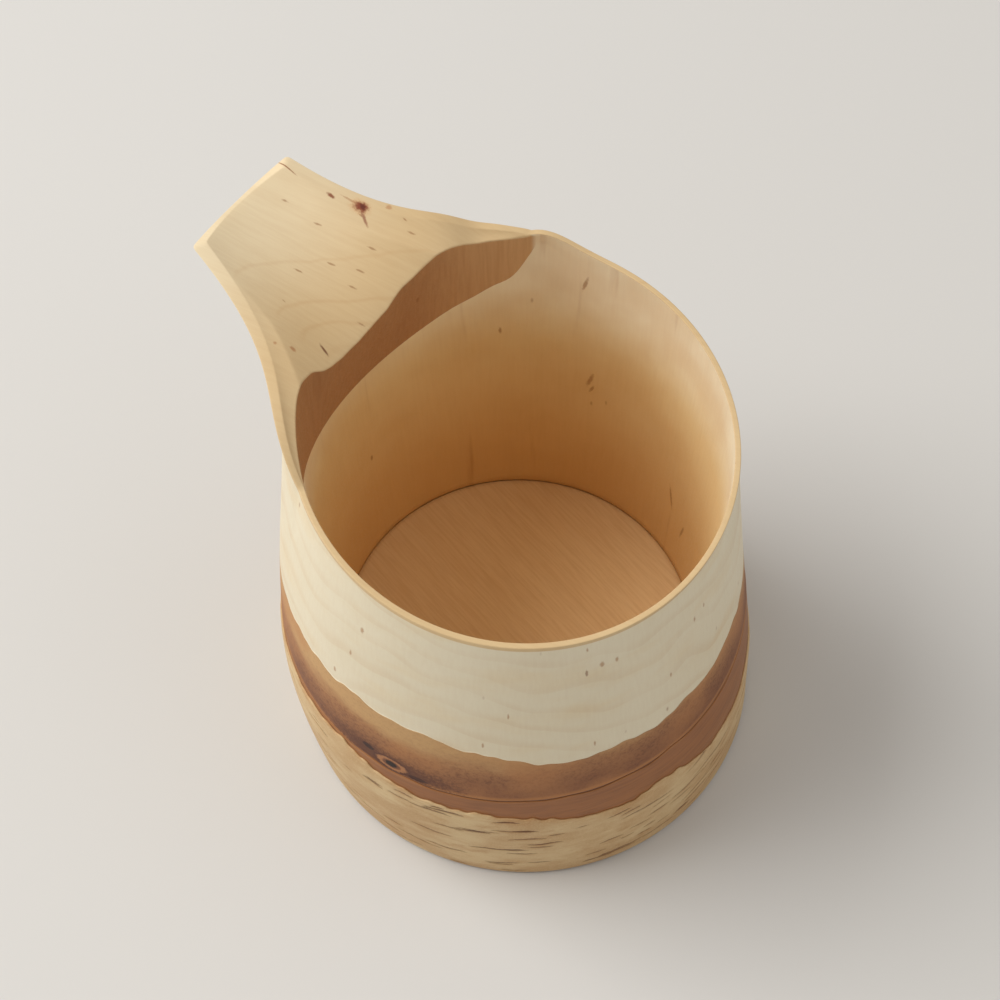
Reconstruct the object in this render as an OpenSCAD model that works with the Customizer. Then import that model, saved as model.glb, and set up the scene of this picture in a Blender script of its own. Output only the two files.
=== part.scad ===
// Birch log cup with a tongue handle: a hollowed length of log, its bark left on at the
// foot, and a separate floor sprung into a groove. The origin is on the cup's axis at the
// plane it stands on. The handle points along -X.

/* [Log and foot] */
// Largest radius over the bark
log_r = 45; // [44:0.25:47]
// How much narrower the log is at its foot
foot_taper = 0.8; // [0.2:0.1:2]
// Height up to which the bark is left untouched
bark_h = 27; // [20:1:32]
// Thickness of the outer bark, also the step where the shaving starts
outer_bark_t = 0.5; // [0.4:0.05:0.8]
// Thickness of the cork layer under it
cork_t = 0.44; // [0.4:0.02:0.7]
// Thickness of the inner bark
inner_bark_t = 1.26; // [1:0.05:1.6]
// Height of the bevel around the foot
foot_bevel = 0.8; // [0.4:0.1:1.4]

/* [Rim and bore] */
// Outer radius of the rim
rim_r = 38.4; // [37.8:0.1:39.5]
// Height of the rim at the cup's axis
rim_h = 86.8; // [84:0.2:90]
// Tilt of the rim, rising towards the handle, in degrees
rim_tilt = 8.1; // [4:0.1:9]
// Thickness of the wall at the rim
rim_t = 1.05; // [0.8:0.05:1.4]
// How quickly the shaved wall curves in, 1 for a straight taper
shave_power = 1.25; // [1.05:0.05:1.5]

/* [Floor] */
// Height of the floor's top face
floor_h = 14.2; // [12:0.1:18]
// Thickness of the floor
floor_t = 5.8; // [4:0.1:7]
// Radius of the bore at the floor
floor_r = 34; // [33:0.1:35]
// Depth of the groove that holds the floor
groove_d = 1.6; // [1:0.1:2]

/* [Handle] */
// Distance from the axis to the tip's corners
tip_x = 60.2; // [56:0.2:64]
// Half width of the tip
tip_half = 12.4; // [11:0.1:14]
// Height of the tip's corners
tip_h = 103.8; // [102:0.2:106]
// How far the tip's end bows out
tip_bow = 1.4; // [0.6:0.1:2]
// Angle either side of the handle where its edges leave the rim
root_angle = 56; // [52:1:58]
// Width of the flat band along the tip's edges
tip_band = 2.4; // [1.5:0.1:3]
// Depth of the scoop at the cup
scoop_d = 6.2; // [4:0.2:9]
// Depth of the scoop at the tip
scoop_tip_d = 2.2; // [1:0.1:3]
// Thickness of the tip
tip_t = 3.2; // [2.4:0.1:4]
// Height at which the wall starts to flare into the handle
flare_h = 50; // [50:1:56]
// How sharply the flare turns outwards
flare_power = 3; // [2.6:0.1:3.6]

/* [Undercut below the handle] */
// Radius of the slanted round cut that trims the inside of the wall
cut_r = 45; // [43:0.5:49]
// Slant of that cut, in degrees
cut_tilt = 10; // [6:0.5:13]
// Reach of that cut at its lowest point on the bore
cut_x = 36.4; // [36.2:0.1:36.9]
// Height of that lowest point
cut_h = 69; // [66:0.5:74]

/* [Hidden] */
$fn = 180;

// The rim's tilted plane, and the height of its low side, where the shaving ends
rim_slope = tan(rim_tilt);
rim_low = rim_h - rim_slope * rim_r;
shave_h = rim_low - bark_h;
function rim_plane(x) = rim_h + rim_slope * x;

// The log's own surface, and the surface shaved above the bark
swell_h = 28;
log_steps = 6;
log_heights = [for (i = [0:log_steps]) swell_h * i / log_steps];
cork_depth = outer_bark_t + cork_t;
wood_depth = cork_depth + inner_bark_t;
shave_r = log_r - outer_bark_t;
blank_h = 112;
wall_blank_h = 98;
bevel_run = 1;
bevel_r = log_r - foot_taper - foot_bevel * bevel_run;
function log_surface(z) = log_r - foot_taper * pow(max(0, swell_h - z) / swell_h, 2);
function shaved(z) =
    shave_r - (shave_r - rim_r) * pow(min(1, max(0, z - bark_h) / shave_h), shave_power);
// Height at which the shaved surface cuts through to a given depth below the bark
function reach(depth) =
    bark_h + shave_h * pow((shave_r - log_r + depth) / (shave_r - rim_r), 1 / shave_power);
function bevel_z(r) = max(0, (r - bevel_r) / bevel_run);
// A surface at one depth below the log's, from the foot's bevel up to a height
function layer_side(depth, top) = concat(
    [[log_surface(0) - depth, bevel_z(log_surface(0) - depth)]],
    [for (z = log_heights) if (z > foot_bevel && z < top) [log_surface(z) - depth, z]],
    [[log_surface(top) - depth, top]]);
function reversed(list) = [for (i = [len(list) - 1:-1:0]) list[i]];
function shaved_side(low, high, steps) =
    [for (i = [1:steps]) let (z = low + (high - low) * i / steps) [shaved(z), z]];

// The groove cut for the floor, from its lower edge to its upper one
recess_r = floor_r - 0.2;
groove = [
    [recess_r, floor_h - floor_t],
    [floor_r + groove_d, floor_h - floor_t / 2],
    [floor_r, floor_h]];

// The handle's edge is one cubic curve from the rim to the tip's corner
edge_steps = 12;
tip_steps = 8;
edge_start = [rim_r * cos(root_angle), rim_r * sin(root_angle), rim_plane(rim_r * cos(root_angle))];
edge_pull = [34.7, 27.1, 98.5];
tip_pull = [34.5, 17, 95.3];
tip_corner = [tip_x, tip_half, tip_h];
function edge(t) =
    pow(1 - t, 3) * edge_start + 3 * t * pow(1 - t, 2) * edge_pull
    + 3 * t * t * (1 - t) * tip_pull + pow(t, 3) * tip_corner;
function ease(a, b, t) = a + (b - a) * t * t * (3 - 2 * t);
function band(t) = ease(rim_t, tip_band, t);
scoop_power = 1.3;
function scoop(t) = scoop_d + (scoop_tip_d - scoop_d) * pow(t, scoop_power);
// Height of the scooped top at a station of the edge and a place across it
function scoop_z(t, y) =
    let (e = edge(t), half = e[1] - band(t))
    e[2] - scoop(t) * max(0, 1 - pow(y / half, 2));

// Outline of the handle seen from above, with its height and edge thickness
function outline_side(side) =
    [for (i = [0:edge_steps]) let (t = i / edge_steps, e = edge(t))
        [e[0], side * e[1], e[2], ease(rim_t, tip_t, t)]];
outline_tip =
    [for (i = [1:tip_steps - 1]) let (v = 1 - 2 * i / tip_steps)
        [tip_x + tip_bow * (1 - v * v), v * tip_half, scoop_z(1, v * tip_half), tip_t]];
outline = concat(outline_side(1), outline_tip, reversed(outline_side(-1)));

// The flare is a stack of points at each place of the outline, closed to the inside
flare_steps = 9;
flare_core = 20;
flare_dip = 0.25;
function flare_stack(p) =
    let (r = norm([p[0], p[1]]), low = p[2] - p[3], u = [p[0], p[1]] / r)
    concat(
        [[u[0] * flare_core, u[1] * flare_core, flare_h]],
        [for (i = [0:flare_steps])
            let (s = i / flare_steps, z = flare_h + (low - flare_h) * s,
                 base = shaved(z) - flare_dip,
                 q = base + (r - shaved(low) + flare_dip) * pow(s, flare_power))
            [u[0] * q, u[1] * q, z]],
        [[p[0], p[1], blank_h], [u[0] * flare_core, u[1] * flare_core, blank_h]]);

// A closed solid through equal rings of points, the first and last ring as flat ends
module loft(rings) {
    n = len(rings[0]);
    m = len(rings);
    sides = [for (j = [0:m - 2]) for (i = [0:n - 1]) let (k = (i + 1) % n)
        each [[j * n + i, (j + 1) * n + k, j * n + k], [j * n + i, (j + 1) * n + i, (j + 1) * n + k]]];
    polyhedron(
        points = [for (ring = rings) each ring],
        faces = concat(sides,
            [[for (i = [0:n - 1]) i]],
            [[for (i = [0:n - 1]) (m - 1) * n + (n - i) % n]]));
}

module handle_flare() mirror([1, 0, 0]) loft([for (p = outline) flare_stack(p)]);

// Everything above the rim and the scooped top of the handle
top_columns = 12;
clear_half = 60;
clear_h = 120;
past_tip = 8;
tip_slope = (tip_h - tip_pull[2]) / (tip_x - tip_pull[0]);
function top_ring(x, z, t, depth) =
    let (half = edge(t)[1] - band(t))
    concat(
        [[x, 0, clear_h], [x, -clear_half, clear_h], [x, -clear_half, z]],
        [for (i = [0:top_columns]) let (v = -1 + 2 * i / top_columns)
            [x, v * half, z - depth * (1 - v * v)]],
        [[x, clear_half, z], [x, clear_half, clear_h]]);
module above_top() mirror([1, 0, 0]) loft(concat(
    [for (x = [-clear_half, 0]) top_ring(x, rim_plane(x), 0, 0)],
    [for (i = [0:edge_steps]) let (t = i / edge_steps, e = edge(t))
        top_ring(e[0], e[2], t, scoop(t))],
    [top_ring(tip_x + past_tip, tip_h + past_tip * tip_slope, 1, scoop_tip_d)]));

// The inside: foot recess, groove, bore and the slanted cut that trims the bore's top
module bore() rotate_extrude() polygon(concat(
    [[0, -1], [recess_r, -1]],
    groove,
    [[rim_r - rim_t, rim_low], [rim_r - rim_t, blank_h + 1], [0, blank_h + 1]]));
module slanted_cut()
    translate([-cut_x, 0, cut_h]) rotate([0, cut_tilt, 0])
        translate([cut_r, 0, -2 * cut_h]) cylinder(r = cut_r, h = 4 * cut_h);
module inside() intersection() {
    bore();
    slanted_cut();
}

module turned_wall() rotate_extrude() polygon(concat(
    [[0, 0], [bevel_r, 0]],
    layer_side(wood_depth, reach(wood_depth)),
    shaved_side(reach(wood_depth), rim_low, 10),
    [[rim_r, wall_blank_h], [0, wall_blank_h]]));

module bark_ring(depth_out, depth_in, top_out) rotate_extrude() polygon(concat(
    layer_side(depth_out, top_out),
    depth_out > 0 ? shaved_side(top_out, reach(depth_in), 4) : [[log_r - depth_in, top_out]],
    reversed(layer_side(depth_in, depth_out > 0 ? reach(depth_in) : top_out))));

module cup_body() color("wheat") difference() {
    union() {
        turned_wall();
        handle_flare();
    }
    inside();
    above_top();
}
module inner_bark() color("sienna") bark_ring(cork_depth, wood_depth, reach(cork_depth));
module cork_layer() color("peru") bark_ring(outer_bark_t, cork_depth, bark_h);
module outer_bark() color("tan") bark_ring(0, outer_bark_t, bark_h);
module floor_disc() color("burlywood") rotate_extrude() polygon(concat(
    [[0, floor_h - floor_t]],
    groove,
    [[0, floor_h]]));

cup_body();
inner_bark();
cork_layer();
outer_bark();
floor_disc();
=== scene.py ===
"""Birch log cup with a tongue handle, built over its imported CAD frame.

Lengths are millimetres until a mesh is made. Shapes are worked out with the handle along +x
and turned half a circle about the cup's axis into the frame, where the handle points along -X.
The near side of the handle is +y, its far side -y. Azimuths are degrees in the frame.
"""
import math

import bmesh
import bpy
import numpy as np
from mathutils import Matrix, Vector


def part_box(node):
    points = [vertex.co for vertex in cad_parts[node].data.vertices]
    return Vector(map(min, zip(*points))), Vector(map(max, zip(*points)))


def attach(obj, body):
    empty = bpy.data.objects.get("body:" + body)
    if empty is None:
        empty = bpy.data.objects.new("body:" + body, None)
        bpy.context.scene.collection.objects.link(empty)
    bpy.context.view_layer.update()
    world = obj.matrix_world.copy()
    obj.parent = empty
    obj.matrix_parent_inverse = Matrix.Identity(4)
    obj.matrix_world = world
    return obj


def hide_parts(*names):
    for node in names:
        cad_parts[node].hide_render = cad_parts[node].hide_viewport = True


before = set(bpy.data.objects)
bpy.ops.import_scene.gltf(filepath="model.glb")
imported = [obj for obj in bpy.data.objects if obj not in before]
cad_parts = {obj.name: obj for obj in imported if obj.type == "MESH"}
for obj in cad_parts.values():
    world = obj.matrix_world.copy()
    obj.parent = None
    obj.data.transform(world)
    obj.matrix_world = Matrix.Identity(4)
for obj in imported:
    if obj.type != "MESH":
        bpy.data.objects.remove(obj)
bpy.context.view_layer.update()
rng = np.random.default_rng(7)
MM = 0.001
TURN = 2 * math.pi

# ---- Sizes ----------------------------------------------------------------------------------


def node_size(node, axis):
    """Lowest and highest coordinate of a CAD node along one axis."""
    low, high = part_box(node)
    return low[axis] / MM, high[axis] / MM


FLOOR_LOW, FLOOR_H = node_size("floor_disc", 2)
GROOVE_R = node_size("floor_disc", 1)[1]
GROOVE_H = (FLOOR_LOW + FLOOR_H) / 2
BARK_SIDES = node_size("outer_bark", 1)
LOG_R = (BARK_SIDES[1] - BARK_SIDES[0]) / 2

# Bore at the floor, and the recess below it
FLOOR_R = 34.0
RECESS_R = FLOOR_R - 0.2

# The log: narrower at its foot, bevelled below, shaved in a curve above, its axis off the cup's
FOOT_TAPER = 0.8
SWELL_H = 28.0
FOOT_BEVEL = 0.8
BEVEL_R = LOG_R - FOOT_TAPER - FOOT_BEVEL
SHAVE_H = 23.0
SHAVE_POWER = 1.24
BARK_STEP = 0.5
LOG_SHIFT = -1.9
LOG_BOW = (0.95, 1.5)

# The tilted rim, and how far below it the arris and the crease run on, sinking from the root
RIM_R = 38.4
RIM_H = 86.8
RIM_RISE = math.tan(math.radians(8.1))
RIM_CROSS = -0.0265
RIM_T = 1.05
RIM_DROP = 0.4
PLAIN_DROP = 3.0
PLAIN_RUN = 0.35

# The handle's outline: a curve from the rim at the root to the tip's corner, and bands on it
ROOT = math.radians(56)
TIP_X, TIP_HALF, TIP_H = 60.2, 12.4, 103.8
TIP_BOW = 1.4
TIP_RISE = 0.33
TIP_T = 3.2
END_BAND, END_POWER = 0.8, 12
BAND_PLACES, BAND_WIDTHS = (0, 0.25, 1), (RIM_T, 1.5, 2.4)
EDGE = np.array([
    [RIM_R * math.cos(ROOT), RIM_R * math.sin(ROOT), RIM_H + RIM_RISE * RIM_R * math.cos(ROOT)],
    [34.7, 27.1, 98.5],
    [34.5, 17.0, 95.3],
    [TIP_X, TIP_HALF, TIP_H],
])

# The handle's underside flares out of the wall, and its edge is rounded back below
FLARE_H = 50.0
FLARE_POWER = 3.0
UNDERCUT = 0.85

# The handle's top: a shallow dish with a gouge in it, deepest where it breaks into the cup
DISH_ROOT, DISH_TIP = 0.7, 2.0
GOUGE_D, GOUGE_POWER = 4.6, 1.3
GOUGE_X, GOUGE_REACH = 31.6, 1.4
GOUGE_PLACES, GOUGE_WIDTHS = (GOUGE_X, 42, 51, TIP_X), (0.575, 0.62, 0.72, 0.95)
GOUGE_ROUND = 1.15
FAR_END, FAR_POWER = 1.15, 2.2
NEAR_CREASE, NEAR_DROP, NEAR_END, NEAR_POWER = 0.82, 0.34, 1.5, 2.2

# The slanted round cut below the handle
CUT_R = 48.0
CUT_LEAN = math.tan(math.radians(13))
CUT_X, CUT_H = 36.3, 69.1
CREASE_LOW, CREASE_HIGH = 60, 100
CREASE_GAP = 1.0

# Radius at which the handle's top breaks into the cup, by degrees either side of the handle
FAR_ARRIS = {0: 32.0, 8: 32.3, 15: 33.4, 20: 33.7, 27: 34.5, 33: 35.5, 38: 36.3, 44: 36.9,
             60: 37.3}
NEAR_ARRIS = {0: 32.0, 6: 32.0, 14: 32.6, 19: 33.4, 22: 34.2, 24: 35.6, 29: 36.6, 34: 37.0,
              60: 37.3}
ARRIS_SPAN = 75
ARRIS_GAP = 0.12

# The far root of the handle stands out and up from the rim's circle, and its edge dips after it
FAR_ROOT = math.radians(-59)
FAR_RIM_WIDTH, FAR_EDGE_WIDTH = math.radians(10), math.radians(7)
FAR_OUT, FAR_UP = 1.0, 1.8
FAR_DIP, DIP_PLACE, DIP_WIDTH = 1.2, 0.28, 0.13
CREASE_LIFT = 0.8

# The cut below the handle ends in a rounded lobe on the far side
LOBE_AT, LOBE_WIDTH, LOBE_DROP = math.radians(-51.5), math.radians(5.5), 3.0

# Heights of the wavy edges between the layers, by azimuth
WOOD_EDGE = {0: 46.4, 22: 47.8, 70: 50.0, 130: 48.5, 190: 50.0, 250: 53.2, 280: 53.0,
             300: 50.6, 316: 46.6, 345: 46.0}
CORK_EDGE = {0: 33.9, 90: 34.6, 180: 34.1, 270: 34.3}
BARK_EDGE = {3: 19.2, 18: 19.4, 60: 22.5, 120: 27.0, 180: 30.5, 235: 33.2, 262: 33.4, 272: 30.6,
             290: 28.9, 305: 28.2, 318: 26.4, 330: 23.6, 346: 25.6, 356: 21.6}
BARK_UNDER_CORK = 0.7


# ---- Shape functions ------------------------------------------------------------------------


def ease(low, high, t):
    """Smooth step from low to high as t goes from 0 to 1."""
    t = np.clip(t, 0, 1)
    return low + (high - low) * t * t * (3 - 2 * t)


def hump(value, centre, width):
    """A bell curve, 1 at its centre."""
    return np.exp(-((value - centre) / width) ** 2)


def wrapped(angle):
    """An angle brought between minus and plus half a turn."""
    return (angle + math.pi) % TURN - math.pi


def smoothed(line, reach, mode, **how):
    """A line averaged over reach points either side, carried past its ends as mode says."""
    window = np.hanning(2 * reach + 1)
    return np.convolve(np.pad(line, reach, mode=mode, **how), window / window.sum(), "valid")


def edge(t):
    """Point on the handle's near edge, from the rim at 0 to the tip's corner at 1."""
    t = np.asarray(t, float)[..., None]
    return (EDGE[0] * (1 - t) ** 3 + 3 * EDGE[1] * t * (1 - t) ** 2
            + 3 * EDGE[2] * t * t * (1 - t) + EDGE[3] * t ** 3)


EDGE_T = np.linspace(0, 1, 600)
EDGE_POINTS = edge(EDGE_T)


def band_width(t):
    return np.interp(t, BAND_PLACES, BAND_WIDTHS)


def rim_z(phi):
    return RIM_H + RIM_RISE * RIM_R * np.cos(phi) + RIM_CROSS * RIM_R * np.sin(phi)


def edge_place(x):
    return np.interp(x, EDGE_POINTS[:, 0], EDGE_T)


def edge_z(x, y):
    """Height of the handle's edge line carried across the handle."""
    z = np.interp(x, EDGE_POINTS[:, 0], EDGE_POINTS[:, 2]) + np.maximum(x - TIP_X, 0) * TIP_RISE
    return z + RIM_CROSS * y * (1 - edge_place(x)) ** 2


def gouge_shape(v):
    """Depth of the gouge across the handle, 1 at its middle, with a crease on the near side."""
    far = np.clip(1 - (np.abs(v) / FAR_END) ** FAR_POWER, 0, 1)
    bowl = 1 - NEAR_DROP * (np.abs(v) / NEAR_CREASE) ** NEAR_POWER
    flank = (1 - NEAR_DROP) * (NEAR_END - v) / (NEAR_END - NEAR_CREASE)
    near = np.clip(np.minimum(bowl, flank), 0, 1)
    return np.where(v > 0, near, far) ** GOUGE_ROUND


def top_z(x, y):
    """Height of the scooped top of the handle."""
    half = np.interp(x, EDGE_POINTS[:, 0], EDGE_POINTS[:, 1]) - band_width(edge_place(x))
    s = np.clip((TIP_X - x) / (TIP_X - GOUGE_X), 0, GOUGE_REACH)
    width = half * np.interp(x, GOUGE_PLACES, GOUGE_WIDTHS)
    dish = ease(DISH_ROOT, DISH_TIP, 1 - s) * np.clip(1 - (y / half) ** 2, 0, 1)
    gouge = GOUGE_D * s ** GOUGE_POWER * gouge_shape(y / width)
    return edge_z(x, y) - dish - gouge


def bore_r(phi, z):
    return FLOOR_R + (RIM_R - RIM_T - FLOOR_R) * (z - FLOOR_H) / (rim_z(phi) - FLOOR_H)


def cut_r(phi, z):
    """Radius of the slanted round cut below the handle."""
    centre = CUT_X - CUT_LEAN * (z - CUT_H) - CUT_R
    return centre * np.cos(phi) + np.sqrt(CUT_R ** 2 - (centre * np.sin(phi)) ** 2)


def crease_z(phi):
    """Height at which the slanted cut leaves the bore."""
    z = np.linspace(CREASE_LOW, CREASE_HIGH, 1201)
    inside = bore_r(phi[:, None], z) > cut_r(phi[:, None], z)
    return z[inside.argmax(axis=1)]


def arris_r(phi):
    """Radius at which the handle's top breaks into the cup."""
    fine = np.linspace(-ARRIS_SPAN, ARRIS_SPAN, 601)
    near = np.interp(fine, list(NEAR_ARRIS), list(NEAR_ARRIS.values()))
    far = np.interp(-fine, list(FAR_ARRIS), list(FAR_ARRIS.values()))
    line = smoothed(np.where(fine > 0, near, far), 7, "edge")
    return np.interp(np.degrees(phi), fine, line)


def log_centre(z):
    """The log's own axis stands off the cup's at the foot, bows out and meets it at the rim."""
    down = np.clip(1 - z / RIM_H, 0, 1)
    bow = 4 * down * (1 - down)
    return LOG_SHIFT * down + LOG_BOW[0] * bow, LOG_BOW[1] * bow


def log_r(z):
    return LOG_R - FOOT_TAPER * (np.maximum(0, SWELL_H - z) / SWELL_H) ** 2


def shaved_r(phi, z):
    """The outside as the knife left it: the log without its outer bark, curving in to the rim."""
    u = np.clip((z - SHAVE_H) / (rim_z(phi) - SHAVE_H), 0, 1)
    return log_r(z) - BARK_STEP - (LOG_R - BARK_STEP - RIM_R) * u ** SHAVE_POWER


def depth_at(phi, z):
    """How deep below the log's surface the shaved surface runs at this height."""
    return log_r(z) - shaved_r(phi, z)


def wavy(knots, phi, ripple, lowest, highest):
    """A closed wavy line through knots of azimuth and height, with fine ripples added."""
    degrees = np.arange(0, 360, 0.5)
    at = sorted(knots)
    line = np.interp(degrees, at, [knots[a] for a in at], period=360)
    line = smoothed(line, 15, "wrap")
    fine = np.zeros_like(degrees)
    for k in range(lowest, highest):
        fine += rng.normal() * np.sin(np.radians(degrees) * k + rng.uniform(0, TURN)) / k ** 0.7
    line = line + ripple * fine / fine.std()
    return np.interp((np.degrees(phi) + 180) % 360, degrees, line, period=360)


RING_PHI = np.linspace(0, TURN, 2880, endpoint=False)
RING_WOOD = wavy(WOOD_EDGE, RING_PHI, 0.28, 7, 90)
RING_CORK = wavy(CORK_EDGE, RING_PHI, 0.16, 5, 40)
RING_BARK = np.minimum(wavy(BARK_EDGE, RING_PHI, 0.38, 9, 110), RING_CORK - BARK_UNDER_CORK)


def on_ring(values, phi):
    return np.interp(phi % TURN, RING_PHI, values, period=TURN)


# ---- Mesh building --------------------------------------------------------------------------


def lerp(a, b):
    """The straight path from a to b as a function of the share of the way."""
    return lambda u: a + (b - a) * np.asarray(u)[..., None]


def run(path, count, start=0.0, end=0.0):
    """count rows along a path, stopping short of its ends by start and end millimetres."""
    length = np.linalg.norm(path(1.0) - path(0.0), axis=-1)
    most = 0.3
    first = np.minimum(start / length, most)
    last = 1 - np.minimum(end / length, most)
    return [path(first + (last - first) * k / (count - 1)) for k in range(count)]


def corner(before, point, after, count):
    """Rows of a small round between two runs that would meet at point."""
    a, b = before[-1], after[0]
    rows = []
    for k in range(1, count + 1):
        u = k / (count + 1)
        rows.append(a * (1 - u) ** 2 + point * 2 * u * (1 - u) + b * u * u)
    return rows


def polar(r, phi, z, centre=(0.0, 0.0)):
    z = z + np.zeros_like(phi)
    return np.stack([centre[0] + r * np.cos(phi), centre[1] + r * np.sin(phi), z], axis=-1)


def grid_piece(name, rows, node, paint=None):
    """A closed skin through equal closed rows. The last row joins the first."""
    points = np.stack(rows)
    count, columns = points.shape[:2]
    points = points * [-MM, -MM, MM]
    index = np.arange(count * columns).reshape(count, columns)
    down = np.roll(index, -1, axis=0)
    faces = np.stack([index, np.roll(index, -1, axis=1), np.roll(down, -1, axis=1), down], axis=-1)
    mesh = bpy.data.meshes.new(name)
    mesh.vertices.add(count * columns)
    mesh.vertices.foreach_set("co", points.ravel())
    mesh.loops.add(faces.size)
    mesh.loops.foreach_set("vertex_index", faces.ravel())
    mesh.polygons.add(count * columns)
    mesh.polygons.foreach_set("loop_start", np.arange(0, faces.size, 4))
    mesh.update(calc_edges=True)
    if signed_volume(points, index, down) < 0:
        mesh.flip_normals()
    mesh.shade_smooth()
    if paint is not None:
        colour = mesh.attributes.new("zone", "FLOAT_COLOR", "POINT")
        colour.data.foreach_set("color", np.asarray(paint, float).reshape(-1))
    piece = bpy.data.objects.new(name, mesh)
    bpy.context.scene.collection.objects.link(piece)
    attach(piece, "root")
    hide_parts(node)
    return piece


def signed_volume(points, index, down):
    """Six times the volume inside the skin, negative if its faces look inwards."""
    flat = points.reshape(-1, 3)
    a, b = flat[index], flat[np.roll(index, -1, axis=1)]
    c, d = flat[np.roll(down, -1, axis=1)], flat[down]
    return (np.cross(a, b) * c).sum() + (np.cross(a, c) * d).sum()


# ---- Cup body -------------------------------------------------------------------------------

HANDLE_COLUMNS, RIM_COLUMNS = 210, 190
OUTLINE_STEP = 0.1

# What each part of the skin is painted for the wood's material: bore, cut below the handle, top
PLAIN, BORE, CUT, TOP = (0, 0, 0, 1), (1, 0, 0, 1), (0, 1, 0, 1), (0, 0, 1, 1)


def dense_outline():
    """Outline, inset line, place along the edge and sag of the tip, from root to root."""
    t = np.linspace(0, 1, 900)
    side = edge(t)
    slope = np.gradient(side[:, :2], axis=0)
    slope /= np.linalg.norm(slope, axis=1)[:, None]
    inward = np.stack([slope[:, 1], -slope[:, 0]], axis=1)
    inner = side[:, :2] + inward * band_width(t)[:, None]
    inner = inner - slope * (END_BAND * t ** END_POWER)[:, None]
    across = np.linspace(1, -1, 400)[1:-1]
    bow = TIP_X + TIP_BOW * (1 - across ** 2)
    tip = np.stack([bow, across * TIP_HALF], axis=1)
    tip_in = np.stack([bow - END_BAND + (inner[-1][0] - TIP_X + END_BAND) * across ** 2,
                       across * abs(inner[-1][1])], axis=1)
    flip = [1, -1]
    plan = np.concatenate([side[:, :2], tip, (side[:, :2] * flip)[::-1]])
    inset = np.concatenate([inner, tip_in, (inner * flip)[::-1]])
    place = np.concatenate([t, np.ones(len(across)), t[::-1]])
    sag = np.concatenate([0 * t, DISH_TIP * (1 - across ** 2), 0 * t])
    rows = np.column_stack([plan, inset, place, sag])
    steps = np.r_[0, np.cumsum(np.linalg.norm(np.diff(plan, axis=0), axis=1))]
    even = np.arange(0, steps[-1], OUTLINE_STEP)
    return np.stack([smoothed(np.interp(even, steps, column), 12, "reflect", reflect_type="odd")
                     for column in rows.T], axis=1)


def cup_columns():
    """Outer and inner edge point, azimuth, edge place and lift of every column."""
    dense = dense_outline()
    pick = np.linspace(0, len(dense) - 1, HANDLE_COLUMNS)
    rows = np.stack([np.interp(pick, np.arange(len(dense)), c) for c in dense.T], axis=1)
    x, y = rows[:, 0], rows[:, 1]
    outer = np.column_stack([x, y, edge_z(x, y) - rows[:, 5]])
    inner = np.column_stack([rows[:, 2], rows[:, 3], outer[:, 2]])
    back = np.linspace(-ROOT, ROOT - TURN, RIM_COLUMNS + 2)[1:-1]
    phi = np.concatenate([np.arctan2(y, x), back])
    place = np.concatenate([rows[:, 4], np.zeros(RIM_COLUMNS)])
    outer = np.concatenate([outer, polar(RIM_R, back, rim_z(back))])
    inner = np.concatenate([inner, polar(RIM_R - RIM_T, back, rim_z(back))])
    off = wrapped(phi - FAR_ROOT)
    root = hump(off, 0, np.where(off < 0, FAR_RIM_WIDTH, FAR_EDGE_WIDTH))
    lift = polar(FAR_OUT * root, phi, FAR_UP * root)
    lift[:, 2] -= FAR_DIP * hump(place, DIP_PLACE, DIP_WIDTH) * (outer[:, 1] < 0) * (place > 0)
    return outer + lift, inner + lift, phi, place, lift


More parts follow.
